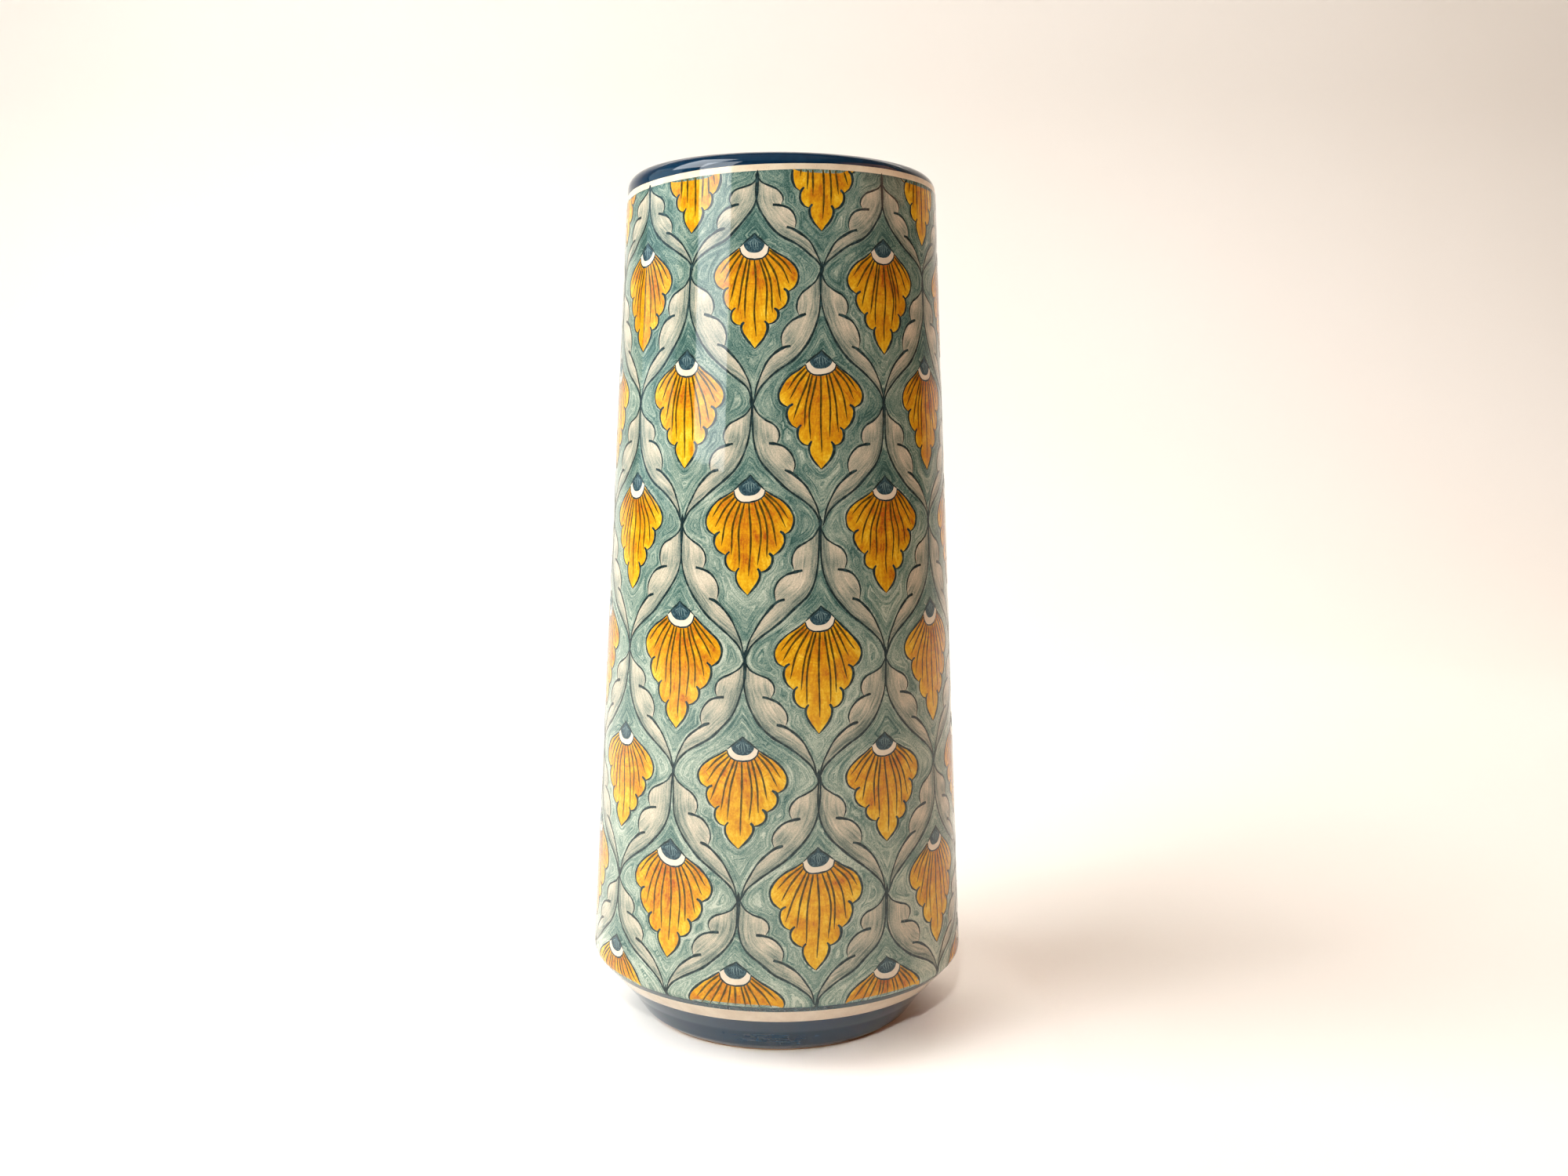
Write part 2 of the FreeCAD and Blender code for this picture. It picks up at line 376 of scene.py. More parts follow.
CRESCENT_INNER = ((3.5, 2.9), (3.0, 4.6), (1.7, 5.8), (0.0, 6.1))
SHOULDER = ((0.0, -0.3), (1.0, 0.9), (2.2, 1.8), (3.3, 2.8), (4.9, 4.3))
# Widths of its strokes in mm; a pressure is a share of the width at even steps along a stroke.
PALMETTE_WEIGHTS = (0.80, 0.68)  # right half, left half
SHOULDER_PRESSURE = (0.8, 0.9, 1.0, 0.9)
LOBE_PRESSURE = (1.4, 1.15, 0.95, 0.85)
CRESCENT_WIDTH = 0.54
SHOULDER_WIDTHS = (0.75, 0.65, 0.65, 0.85)
RAY_WIDTHS = (0.78, 0.74, 0.64, 0.5)
HATCH_COUNT = 6
HATCH_WIDTH = 0.36

# The leaf, measured from the junction where it starts, x away from the stem.
SPINE = (
    (0.0, 1.0), (0.1, 8.0), (0.45, 12.0), (1.4, 15.7), (2.9, 18.8), (5.1, 22.0), (7.8, 24.9),
    (11.3, 28.1), (16.1, 31.3), (20.3, 34.2), (23.4, 37.0), (25.4, 41.0),
)
LEAF_STROKES = (
    ((0.1, 1.8), (2.0, 4.7), (5.0, 6.6), (7.9, 8.0), (9.7, 10.0), (10.1, 12.2), (9.2, 14.3)),
    ((6.4, 14.2), (8.8, 14.6), (12.0, 15.8), (14.4, 18.3), (15.3, 21.1), (14.8, 23.7)),
    ((11.9, 23.3), (14.2, 24.0), (17.4, 26.3), (20.1, 29.0), (22.2, 32.2), (24.1, 35.8), (25.4, 41.0)),
)
LEAF_NOTCHES = ((7.0, 12.9), (12.6, 21.8))
SPINE_WEIGHT = 0.76
SPINE_PRESSURE = (1.0, 0.8, 0.85, 1.0, 1.15, 1.0, 0.9, 0.8)
LEAF_WEIGHT = 0.68
FIRST_LOBE_PRESSURE = (0.9, 0.85, 0.95, 0.95, 0.7)
NEXT_LOBE_PRESSURE = (1.55, 1.25, 0.9, 0.85, 0.7)
KNOT_WIDTHS = (0.7, 1.35, 1.25, 0.6)


def closed_pair(half):
    """A symmetrical closed outline from its right half, whose ends lie on the axis or beside it."""
    return np.vstack([half, mirrored(half)[::-1]])


PALMETTE = closed_pair(np.vstack(
    [smooth(UNDER_CRESCENT)] + [smooth(stroke[hook:]) for stroke, hook in zip(PALMETTE_STROKES, HOOKS)]
))
LEAF = np.vstack([
    smooth(LEAF_STROKES[0]),
    smooth(LEAF_STROKES[1][1:]),
    smooth(LEAF_STROKES[2][1:]),
    smooth(SPINE)[::-1],
])
EYE_SHAPE = closed_pair(smooth(EYE, 0.3))
CRESCENT = np.vstack([
    closed_pair(smooth(CRESCENT_OUTER, 0.4))[:-1],
    mirrored(smooth(CRESCENT_INNER, 0.4)),
    smooth(CRESCENT_INNER, 0.4)[::-1],
])


# --- Placing a motif on the vase ---------------------------


def column_across(kind, number, way):
    """Where a column's axis is at that way along the outline, on the unrolled vase."""
    top, bottom = COLUMN_ANGLES[kind]
    low, high = (painted_way(height) for height in FIELD_SPAN)
    share = (high - way) / (high - low)
    return np.radians(top + (bottom - top) * share + 360 / COLUMNS * number) * UNROLL


def keep_in_turn(places):
    """The places moved by whole turns, so that their middle lies within half a turn of the front."""
    turns = round(float(places[:, 0].mean()) / FULL_TURN)
    return places - (turns * FULL_TURN, 0)


def shaker(source, size):
    """A slow random warp of a drawing, as an unsteady hand gives it."""
    waves = [(source.normal(0, 0.16, 2), source.uniform(0, 2 * math.pi, 2)) for _ in range(3)]

    def shaken(points):
        moved = np.array(points, float)
        for wave, phases in waves:
            turn = np.asarray(points) @ wave
            moved[:, 0] += size * np.sin(turn + phases[0])
            moved[:, 1] += size * np.sin(turn * 1.3 + phases[1])
        return moved

    return shaken


class Motif:
    """One palmette or leaf: turns its own (x, y) into (across, way) on the unrolled vase."""

    def __init__(self, kind, number, start, stretch, seed):
        self.source = np.random.default_rng(seed)
        self.kind, self.number = kind, number
        self.start, self.stretch = start, stretch
        self.lean = self.source.normal(0, HAND_LEAN)
        self.hand = shaker(self.source, HAND_SHAKE)
        self.tone = self.source.uniform(-1, 1)

    def place(self, points):
        drawn = self.hand(points)
        way = self.start - drawn[:, 1] * self.stretch[1]
        axis = column_across(self.kind, self.number, way)
        across = axis + drawn[:, 0] * self.stretch[0] + drawn[:, 1] * self.lean
        return keep_in_turn(np.stack([across, way], axis=1))


def palmette_motifs():
    for row, (kind, apex, length) in enumerate(PALMETTE_ROWS):
        for number in range(COLUMNS):
            seed = PALMETTE_SEED + 20 * row + number
            source = np.random.default_rng(seed)
            width = 1 + source.normal(0, 0.02)
            tall = length / PALMETTE_LENGTH * (1 + source.normal(0, 0.01))
            yield Motif(kind, number, painted_way(apex) + source.normal(0, 0.25), (width, tall), seed)


def leaf_motifs():
    """The pair of leaves that starts at each junction; side is 1 for the right one and -1 for the left."""
    for row, ((kind, height), (_, next_height)) in enumerate(zip(JUNCTIONS, JUNCTIONS[1:])):
        other = "b" if kind == "a" else "a"
        for number in range(COLUMNS):
            for side in (1, -1):
                beside = number + (0 if (kind == "a") == (side == 1) else side)
                low_way = painted_way(next_height)
                reach = column_across(other, beside, low_way) - column_across(kind, number, low_way)
                stretch = (reach / LEAF_REACH[0], (height - next_height) / LEAF_REACH[1])
                seed = LEAF_SEED + 40 * row + 2 * number + side
                yield Motif(kind, number, painted_way(height), stretch, seed)


# --- Painted layers ----------------------------------------


def clipped(outline):
    """The part of a closed (across, way) outline that lies inside the painted field."""
    for edge, side in ((FIELD_TOP, 1.0), (FIELD_FOOT, -1.0)):
        if len(outline) < 3:
            return outline
        beyond = side * (outline[:, 1] - edge(outline[:, 0] / UNROLL))
        kept = []
        for index in range(len(outline)):
            after = (index + 1) % len(outline)
            here, there = beyond[index], beyond[after]
            if here <= 0:
                kept.append(outline[index])
            if (here < 0 < there) or (there < 0 < here):
                share = here / (here - there)
                kept.append(outline[index] + (outline[after] - outline[index]) * share)
        outline = np.array(kept).reshape(-1, 2)
    return outline


def inside(points, outline):
    """Which of the points lie inside a closed outline."""
    x, y = points[:, 0][:, None], points[:, 1][:, None]
    x0, y0 = outline[:, 0][None, :], outline[:, 1][None, :]
    x1, y1 = np.roll(x0, -1, axis=1), np.roll(y0, -1, axis=1)
    straddles = (y0 > y) != (y1 > y)
    crossing = x0 + (y - y0) * (x1 - x0) / np.where(y1 == y0, 1e-9, y1 - y0)
    return (np.sum(straddles & (x < crossing), axis=1) % 2) == 1


def nearest(points, others):
    """The distance from each point to the nearest of the others."""
    apart = points[:, None, :] - others[None, :, :]
    return np.sqrt(np.min(np.sum(apart**2, axis=2), axis=1))


def fill_mesh(outline, gap):
    """Points and triangles that fill a closed outline, with even points inside."""
    low, high = outline.min(axis=0), outline.max(axis=0)
    rows = np.arange(low[1], high[1], gap * 0.87)
    grid = [(x, y) for i, y in enumerate(rows) for x in np.arange(low[0] + (i % 2) * gap / 2, high[0], gap)]
    grid = np.array(grid).reshape(-1, 2)
    grid = grid[inside(grid, outline)]
    if len(grid):
        grid = grid[nearest(grid, outline) > gap * 0.5]
    points = np.vstack([outline, grid])
    made = geometry.delaunay_2d_cdt(
        [Vector(point) for point in points], [], [list(range(len(outline)))], 1, 1e-4
    )
    return np.array([tuple(vertex) for vertex in made[0]]), [tuple(face) for face in made[2]]


class Layer:
    """Gathers many painted patches into one piece."""

    def __init__(self):
        self.places, self.lifts, self.faces, self.marks, self.count = [], [], [], {}, 0

    def add(self, places, lifts, faces, **marks):
        size = len(places)
        self.places.append(places)
        self.lifts.append(np.broadcast_to(lifts, size))
        self.faces += [tuple(self.count + corner for corner in face) for face in faces]
        for name, values in marks.items():
            self.marks.setdefault(name, []).append(values)
        self.count += size

    def build(self, name, material):
        places = np.vstack(self.places)
        points, normals = wrap(places[:, 0] / UNROLL, places[:, 1], np.concatenate(self.lifts))
        marks = {mark: np.concatenate(values) for mark, values in self.marks.items()}
        piece = mesh_object(name, points, self.faces, normals, marks, material)
        return finish_piece(piece, FIELD_NODE)


# Across a brush stroke: the share of its half width, and of its height.
STROKE_SECTION = ((-1.0, 0.45), (-0.6, 0.85), (0.0, 1.0), (0.6, 0.85), (1.0, 0.45))


def add_fill(layer, outline, lift, gap=1.5, **measures):
    """Fills a closed (across, way) outline; each measure turns its points into the mark of that name."""
    outline = clipped(outline)
    if len(outline) < 3:
        return
    outline = thinned(outline, 0.3)
    if len(outline) < 6:
        return
    points, faces = fill_mesh(outline, gap)
    edge = nearest(points, outline)
    lifts = np.where(edge < 0.05, lift - EDGE_SINK, lift)
    marks = {name: measure(points) for name, measure in measures.items()}
    layer.add(points, lifts, faces, edge=edge, **marks)


def add_stroke(layer, path, width, source, lift=INK_LIFT, ends=(0.35, 0.35), reach=0.0):
    """A brush stroke along an (across, way) path: a low rounded ridge that tapers towards its ends.

    The width is one size or several, spread evenly along the path; the ends are shares of it. The reach is
    how far the stroke may run past the painted field. The mark "side" goes from -1 to 1 across it.
    """
    beyond = np.maximum(
        path[:, 1] - FIELD_TOP(path[:, 0] / UNROLL),
        FIELD_FOOT(path[:, 0] / UNROLL) - path[:, 1],
    )
    path = path[beyond <= reach]
    if len(path) < 3:
        return
    path = thinned(path, 0.35)
    if len(path) < 3:
        return
    shrink = UNROLL / radius_at(path[:, 1])
    true = path.copy()
    true[:, 0] = np.concatenate([[0], np.cumsum(np.diff(path[:, 0]) / (shrink[1:] + shrink[:-1]) * 2)])
    steps = np.linalg.norm(np.diff(true, axis=0), axis=1)
    along = np.concatenate([[0], np.cumsum(steps)])
    tangent = np.gradient(true, axis=0)
    tangent /= np.linalg.norm(tangent, axis=1)[:, None] + 1e-9
    normal = np.stack([-tangent[:, 1], tangent[:, 0]], axis=1)
    whole = along[-1]
    taper = np.minimum(
        ends[0] + (1 - ends[0]) * np.clip(along / 1.6, 0, 1),
        ends[1] + (1 - ends[1]) * np.clip((whole - along) / 2.5, 0, 1),
    )
    phases = source.uniform(0, 2 * math.pi, 3)
    slow, quick = np.sin(along * 0.9 + phases[0]), np.sin(along * 2.7 + phases[1])
    taper = taper * (1 + 0.13 * slow + 0.07 * quick)
    widths = np.atleast_1d(width)
    half = taper * np.interp(along / whole, np.linspace(0, 1, len(widths)), widths) / 2
    count = len(path)
    places, lifts, sides = [], [], []
    for share, height in STROKE_SECTION:
        offset = normal * (share * half)[:, None]
        places.append(path + np.stack([offset[:, 0] * shrink, offset[:, 1]], axis=1))
        lifts.append(np.full(count, lift * height))
        sides.append(np.full(count, share))
    faces = []
    for lane in range(len(STROKE_SECTION) - 1):
        for step in range(count - 1):
            a = lane * count + step
            faces.append((a, a + 1, a + count + 1, a + count))
    layer.add(np.vstack(places), np.concatenate(lifts), faces, side=np.concatenate(sides))


# --- The painting ------------------------------------------


def quarter(number):
    """Which quarter of the vase a column belongs to."""
    return number * QUARTERS // COLUMNS


def rays(motif):
    """The palmette's radiating lines, from the crescent outwards, as local paths."""
    for angle, (end_x, end_y) in RAYS:
        for side in ((1,) if angle == 0 else (1, -1)):
            turn = math.radians(angle + motif.source.normal(0, 1.5))
            start = np.add(CRESCENT_CENTRE, (side * RAY_START * math.sin(turn), RAY_START * math.cos(turn)))
            short = 1 - abs(motif.source.normal(0, 0.05))
            end_across = side * end_x * short + motif.source.normal(0, 0.3)
            end = (end_across, start[1] + (end_y - start[1]) * short)
            run = np.subtract(end, start)
            bulge = side * (0.05 if angle else 0.0) + motif.source.normal(0, 0.012)
            middle = np.add(start, run * 0.5) + np.array([run[1], -run[0]]) * bulge
            yield smooth((start, middle, end), 0.6)


def paint_palmette(motif, layers, outlines):
    q, on_vase = quarter(motif.number), motif.place
    centre = on_vase([CRESCENT_CENTRE])[0]

    def polar(points):
        """The way from the crescent's centre, the angle from straight down, and the motif's tone."""
        away = points - centre
        distance, turn = np.hypot(away[:, 0], away[:, 1]), np.arctan2(away[:, 0], -away[:, 1])
        return np.stack([distance, turn, np.full(len(points), motif.tone)], axis=1)

    outline = on_vase(PALMETTE)
    outlines.append(outline)
    add_fill(layers["palmettes", q], outline, FILL_LIFT, polar=polar)
    add_fill(layers["crescents"], on_vase(CRESCENT), DETAIL_LIFT, 0.8)
    add_fill(layers["eyes"], on_vase(EYE_SHAPE), EYE_LIFT, 0.8, polar=polar)

    ink, source = layers["outlines", q], motif.source
    for side, heavy in zip((1, -1), PALMETTE_WEIGHTS):
        for index, stroke in enumerate(PALMETTE_STROKES):
            path = smooth(stroke) * (side, 1)
            weight = heavy + source.normal(0, 0.05)
            widths = weight * np.array(SHOULDER_PRESSURE if index == 0 else LOBE_PRESSURE)
            add_stroke(ink, on_vase(path), widths, source, ends=(0.6, 0.4))
    crescent_line = closed_pair(smooth(CRESCENT_OUTER))[:-1]
    add_stroke(ink, on_vase(crescent_line), CRESCENT_WIDTH, source, FINE_LIFT, ends=(0.7, 0.7))
    for side in (1, -1):
        shoulder = smooth(SHOULDER, 0.3) * (side, 1)
        add_stroke(ink, on_vase(shoulder), SHOULDER_WIDTHS, source, FINE_LIFT)
    for path in rays(motif):
        add_stroke(layers["rays"], on_vase(path), RAY_WIDTHS, source, RAY_LIFT, ends=(0.6, 0.35))
    for number in range(HATCH_COUNT):
        x = -2.3 + 0.92 * number + source.normal(0, 0.12)
        low = 5.2 - 0.35 * x * x
        hatch = smooth(((x * 0.4, 1.4 + abs(x) * 0.35), (x * 0.9, 3.0), (x * 0.8 + 0.3, low)), 0.25)
        add_stroke(layers["hatching"], on_vase(hatch), HATCH_WIDTH, source, FINE_LIFT, ends=(0.4, 0.3))


def paint_leaf(motif, layers, outlines):
    q, on_vase = quarter(motif.number), motif.place
    reach = 0.8                 # so that its lines run out under the bands
    outline = on_vase(LEAF)
    outlines.append(outline)
    spine = on_vase(smooth(SPINE))
    rims = [on_vase(smooth(stroke)) for stroke in LEAF_STROKES]
    notches = on_vase(LEAF_NOTCHES)

    def flow(points):
        """The distance from the spine, which the brush follows, and the place."""
        return np.stack([nearest(points, spine), points[:, 0], points[:, 1]], axis=1)

    def shade(points):
        """0 where the leaf is left cream, 1 where it is washed grey-green."""
        from_spine = nearest(points, spine)
        from_rim = nearest(points, np.vstack(rims))
        from_notch = nearest(points, notches)
        wash = np.clip(1.25 - from_spine / 3.4, 0, 1)
        pool = np.exp(-((from_notch / 3.0) ** 2))
        return np.clip(wash + 0.8 * pool - 0.35 * np.exp(-from_rim / 0.9), 0, 1)

    add_fill(layers["leaves", q], outline, FILL_LIFT, 1.3, flow=flow, shade=shade)
    ink, source = layers["outlines", q], motif.source
    widths = SPINE_WEIGHT * np.array(SPINE_PRESSURE)
    add_stroke(ink, spine, widths, source, ends=(0.8, 0.5), reach=reach)
    for index, rim in enumerate(rims):
        widths = LEAF_WEIGHT * np.array(FIRST_LOBE_PRESSURE if index == 0 else NEXT_LOBE_PRESSURE)
        add_stroke(ink, rim, widths, source, ends=(0.75, 0.3), reach=reach)


def paint_knot(kind, height, number, layers):
    """The thick dark stroke where four leaves' lines run together."""
    source = np.random.default_rng(KNOT_SEED + int(height) * 10 + number)
    count = 14
    ways = painted_way(height) + np.linspace(1.6, -3.6, count)
    sway = 0.1 * np.sin(np.linspace(0, 3, count) + source.uniform(0, 6))
    path = keep_in_turn(np.stack([column_across(kind, number, ways) + sway, ways], axis=1))
    add_stroke(layers["outlines", quarter(number)], path, KNOT_WIDTHS, source, KNOT_LIFT, reach=0.6)


def outline_tree(outlines):
    """A search tree of the points of every outline, repeated a little past the seam at the back."""
    drawn = np.vstack(outlines)
    drawn = np.vstack([drawn, drawn - (FULL_TURN, 0), drawn + (FULL_TURN, 0)])
    drawn = drawn[np.abs(drawn[:, 0]) < FULL_TURN / 2 + 15]
    tree = kdtree.KDTree(len(drawn))
    for index, (across, way) in enumerate(drawn):
        tree.insert((across, way, 0), index)
    tree.balance()
    return tree


def eye_places():
    """The tips of all the eyes, repeated past the seam."""
    eyes = []
    for motif in palmette_motifs():
        eye = motif.place([(0.0, -2.0)])[0]
        eyes += [eye, eye - (FULL_TURN, 0), eye + (FULL_TURN, 0)]
    return np.array(eyes)


def ground_depth(contour, from_eye, from_edge, way):
    """How dark the green is laid on: round the eyes, along outlines and edges, and higher up the vase."""
    near_eye = 0.7 * np.exp(-((from_eye / 9.0) ** 2))
    near_line = 0.3 * np.exp(-(((contour - 1.6) / 1.3) ** 2))
    near_edge = 0.6 * np.exp(-from_edge / 0.7)
    pale_gap = 0.35 * np.exp(-(((contour - 0.55) / 0.3) ** 2))
    upwards = 0.35 * np.clip((way - painted_way(170)) / 80, -1.1, 1)
    return near_eye + near_line + near_edge - pale_gap + upwards


def ground_tile(name, sector, tier, tree, eyes, material):
    """One closed tile of the green ground; "flow" marks the way to the nearest outline and the place."""
    across_count, up_count, inner_count = GROUND_MESH
    low, high = FIELD_FOOT(sector / UNROLL), FIELD_TOP(sector / UNROLL)
    share = (tier + np.linspace(0, 1, up_count + 1)[:, None]) / GROUND_TIERS
    ways = low + (high - low) * share
    places = np.stack([np.broadcast_to(sector, ways.shape).ravel(), ways.ravel()], axis=1)
    contour = np.array([tree.find((x, y, 0))[2] for x, y in places])
    from_edge = np.minimum((high - ways).ravel(), (ways - low).ravel())
    depth = ground_depth(contour, nearest(places, eyes), from_edge, ways.ravel())
    flow = np.stack([contour, places[:, 0], places[:, 1]], axis=1)

    outer_points, outer_normals = wrap(places[:, 0] / UNROLL, places[:, 1], 0.0)
    inner_share = (tier + np.linspace(1, 0, inner_count)[:, None]) / GROUND_TIERS
    inner_points, inner_normals = wrap(sector / UNROLL, low + (high - low) * inner_share, -SKIN)
    points = np.vstack([outer_points, inner_points.reshape(-1, 3)])
    normals = np.vstack([outer_normals, -inner_normals.reshape(-1, 3)])
    rows, wide = up_count + 1 + inner_count, across_count + 1
    faces = []
    for row in range(rows):
        above = (row + 1) % rows
        faces += [(row * wide + c, row * wide + c + 1, above * wide + c + 1, above * wide + c)
                  for c in range(across_count)]
    faces.append(tuple(row * wide for row in range(rows)))
    faces.append(tuple(row * wide + across_count for row in reversed(range(rows))))
    extra = len(points) - len(places)
    marks = {
        "flow": np.vstack([flow, np.zeros((extra, 3))]),
        "shade": np.concatenate([depth, np.zeros(extra)]),
    }
    finish_piece(mesh_object(name, points, faces, normals, marks, material), FIELD_NODE)


def paint_ground(outlines, material):
    """The green ground, as a tile for each column and tier."""
    tree, eyes = outline_tree(outlines), eye_places()
    for number in range(COLUMNS):
        start = number - COLUMNS / 2
        sector = np.linspace(start, start + 1, GROUND_MESH[0] + 1) * PITCH
        for tier in range(GROUND_TIERS):
            ground_tile(f"ground_{number + 1}_{tier + 1}", sector, tier, tree, eyes, material)


# --- Materials ---------------------------------------------


def linear(red, green, blue):
    """A colour given as the screen shows it, 0 to 255."""
    values = [channel / 255 for channel in (red, green, blue)]
    return tuple(v / 12.92 if v <= 0.04045 else ((v + 0.055) / 1.055) ** 2.4 for v in values) + (1.0,)


class Recipe:
    """A material and short ways to add nodes to it."""

    def __init__(self, name):
        self.material = bpy.data.materials.new(name)
        self.material.use_nodes = True
        self.tree = self.material.node_tree
        self.shader = self.tree.nodes["Principled BSDF"]
        self.shader.inputs["IOR"].default_value = 1.45

    def node(self, kind, inputs=(), **settings):
        made = self.tree.nodes.new(kind)
        for name, value in settings.items():
            setattr(made, name, value)
        for socket, value in dict(inputs).items():
            if isinstance(value, bpy.types.NodeSocket):
                self.tree.links.new(value, made.inputs[socket])
            else:
                made.inputs[socket].default_value = value
        return made

    def mark(self, name, output="Fac"):
        return self.node("ShaderNodeAttribute", attribute_name=name).outputs[output]

    def position(self):
        """Where the point is, in millimetres."""
        return self.scaled(self.node("ShaderNodeTexCoord").outputs["Object"], 1000, 1000, 1000)

    def vector_maths(self, operation, vector, other):
        return self.node("ShaderNodeVectorMath", {0: vector, 1: other}, operation=operation).outputs[0]

    def scaled(self, vector, x, y, z):
        return self.vector_maths("MULTIPLY", vector, (x, y, z))

    def noise(self, vector, scale=1.0, detail=2.0, roughness=0.5):
        return self.node("ShaderNodeTexNoise", {
            "Vector": vector, "Scale": scale, "Detail": detail, "Roughness": roughness,
        }).outputs["Fac"]

    def maths(self, operation, a, b=0.0, c=0.0):
        return self.node("ShaderNodeMath", {0: a, 1: b, 2: c}, operation=operation).outputs[0]

    def spread(self, value, low, high, to_low=0.0, to_high=1.0):
        return self.node("ShaderNodeMapRange", {
            "Value": value, "From Min": low, "From Max": high, "To Min": to_low, "To Max": to_high,
        }).outputs[0]

    def ramp(self, value, *stops):
        """The colour at that value, between stops of a position and a screen colour."""
        made = self.node("ShaderNodeValToRGB", {"Fac": value})
        elements = made.color_ramp.elements
        while len(elements) < len(stops):
            elements.new(0.5)
        for element, (place, colour) in zip(elements, stops):
            element.position = place
            element.color = linear(*colour)
        return made.outputs["Color"]

    def streaks(self, flow, tight, loose, size, shift=0.0):
        """Brush or pencil marks that run along the flow, about zero."""
        moved = self.vector_maths("ADD", self.scaled(flow, tight, loose, loose), (shift, shift, 0))
        return self.about_zero(self.noise(moved, 1.0, 2.0, 0.6), size)

    def about_zero(self, noise, size):
        return self.maths("MULTIPLY", self.maths("SUBTRACT", noise, 0.5), size)

    def lines(self, flow, distance, gap, sway, size):
        """Pencil lines at about even distances, wandering and broken."""
        loose = self.scaled(flow, 0.1, 0.1, 0.1)
        even = self.maths("DIVIDE", distance, gap)
        phase = self.maths("MULTIPLY_ADD", self.noise(loose), sway, even)
        wave = self.maths("SINE", self.maths("MULTIPLY", phase, 2 * math.pi))
        broken = self.spread(self.noise(self.scaled(loose, 1.7, 1.7, 1.7)), 0.45, 0.6)
        return self.maths("MULTIPLY", self.spread(wave, 0.1, 1.0, 0.0, size), broken)

    def total(self, first, *others):
        for other in others:
            first = self.maths("ADD", first, other)
        return first

    def mix(self, factor, colour, over):
        """The colour, with a screen colour laid over it by the factor."""
        inputs = {0: factor, 6: colour, 7: linear(*over)}
        return self.node("ShaderNodeMix", inputs, data_type="RGBA").outputs[2]

    def finish(self, colour, rough=(0.03, 0.08), bump=0.014, bump_scale=0.2):
        """Colour, a roughness that varies a little, and the slight unevenness of a fired glaze."""
        place = self.position()
        self.tree.links.new(colour, self.shader.inputs["Base Color"])
        cloud = self.noise(place, 0.16, 3.0)
        self.tree.links.new(self.spread(cloud, 0.3, 0.7, *rough), self.shader.inputs["Roughness"])
        uneven = self.noise(place, bump_scale, 2.0)
        grain = self.noise(place, 2.4, 2.0)
        height = self.maths("MULTIPLY_ADD", grain, 0.04, uneven)
        bumped = self.node("ShaderNodeBump", {"Strength": 1.0, "Distance": bump * MM, "Height": height})
        self.tree.links.new(bumped.outputs["Normal"], self.shader.inputs["Normal"])
        return self.material


def speckled(recipe, colour):
    """Small darker specks and pale pinholes, as in a tin glaze on coarse clay."""
    place = recipe.position()
    specks = recipe.spread(recipe.noise(place, 2.6, 3.0, 0.65), 0.60, 0.74, 0.0, 0.5)
    pinholes = recipe.spread(recipe.noise(place, 1.9, 2.0, 0.6), 0.58, 0.75, 0.0, 0.3)
    return recipe.mix(pinholes, recipe.mix(specks, colour, (150, 118, 88)), (250, 238, 215))


def ground_material():
    r = Recipe("green_ground")
    flow = r.mark("flow", "Vector")
    contour = r.node("ShaderNodeSeparateXYZ", {"Vector": flow}).outputs[0]
    place = r.position()
    value = r.total(
        r.maths("MULTIPLY_ADD", r.mark("shade"), -0.34, 0.58),
        r.about_zero(r.noise(place, 0.07), 0.6),
        r.streaks(flow, 0.45, 0.05, 0.9, 7.0),
        r.streaks(flow, 1.5, 0.08, 1.15),
        r.streaks(flow, 4.2, 0.18, 1.3, 13.0),
        r.about_zero(r.noise(place, 2.6, 3.0, 0.75), 1.5),
        r.lines(flow, contour, 1.1, 2.4, -0.14),
    )
    return r.finish(r.ramp(
        value, (0.0, (54, 84, 78)), (0.25, (88, 117, 107)), (0.5, (126, 145, 130)),
        (0.75, (160, 171, 152)), (1.0, (198, 202, 182)),
    ))


def palmette_material():
    r = Recipe("ochre_palmette")
    polar = r.mark("polar", "Vector")
    away, turn, tone = r.node("ShaderNodeSeparateXYZ", {"Vector": polar}).outputs
    place = r.position()
    value = r.total(
        r.spread(away, 4.0, 26.0, 0.66, 0.36),
        r.spread(r.maths("ABSOLUTE", turn), 0.0, 0.7, 0.10, 0.0),
        r.maths("MULTIPLY", tone, 0.06),
        r.spread(r.mark("edge"), 0.0, 1.4, -0.16, 0.0),
        r.about_zero(r.noise(place, 0.16, 3.0, 0.6), 1.35),
        r.about_zero(r.noise(r.scaled(polar, 0.07, 8.0, 3.0)), 0.7),
        r.about_zero(r.noise(r.scaled(polar, 0.25, 30.0, 9.0), 1.0, 2.0, 0.6), 0.8),
        r.about_zero(r.noise(place, 1.3, 4.0, 0.7), 1.0),
    )
    colour = r.ramp(
        value, (0.0, (242, 200, 66)), (0.25, (230, 176, 34)), (0.5, (216, 151, 22)),
        (0.78, (197, 121, 22)), (1.0, (168, 82, 24)),
    )
    arcs = r.noise(r.scaled(polar, 1.5, 1.2, 5.0), 1.0, 2.0, 0.6)
    strength = r.spread(r.noise(place, 0.09), 0.42, 0.6, 0.25, 1.0)
    red = r.maths("MULTIPLY", r.spread(arcs, 0.48, 0.68), r.spread(away, 9.0, 24.0, 0.75, 0.0))
    return r.finish(r.mix(r.maths("MULTIPLY", red, strength), colour, (192, 88, 26)))


